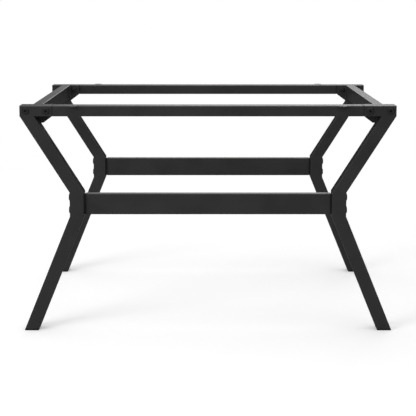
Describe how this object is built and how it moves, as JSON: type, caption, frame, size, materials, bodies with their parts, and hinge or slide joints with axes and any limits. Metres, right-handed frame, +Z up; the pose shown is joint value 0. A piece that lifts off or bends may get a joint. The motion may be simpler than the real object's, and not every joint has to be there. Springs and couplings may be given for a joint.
{
  "type": "table base with y-shaped legs",
  "caption": "Open steel base for a low table: y-shaped bent legs under a level frame of long rails and cross beams, tied at the knees by stretchers, with lugs for a table top.",
  "frame": {"origin": "on the floor, in the middle between the four feet", "axes": "+X along the long rails to the right, +Y from front to rear, +Z up"},
  "size_m": [0.7, 0.525, 0.43],
  "materials": {
    "powder_coat": "satin black powder coat, fine grain",
    "black_plastic": "matt black moulded plastic",
    "black_steel": "black coated steel, satin"
  },
  "bodies": {
    "root": {"front_left_leg": "powder_coat", "front_right_leg": "powder_coat", "rear_left_leg": "powder_coat", "rear_right_leg": "powder_coat", "front_top_rail": "powder_coat", "rear_top_rail": "powder_coat", "left_cross_beam": "powder_coat", "right_cross_beam": "powder_coat", "front_stretcher": "powder_coat", "rear_stretcher": "powder_coat", "front_left_foot_cap": "black_plastic", "front_left_stub_plug": "black_plastic", "front_right_foot_cap": "black_plastic", "front_right_stub_plug": "black_plastic", "rear_left_foot_cap": "black_plastic", "rear_left_stub_plug": "black_plastic", "rear_right_foot_cap": "black_plastic", "rear_right_stub_plug": "black_plastic", "top_frame_bolts": "black_steel", "top_frame_nuts": "black_steel", "stretcher_bolts": "black_steel"}
  },
  "joints": []
}
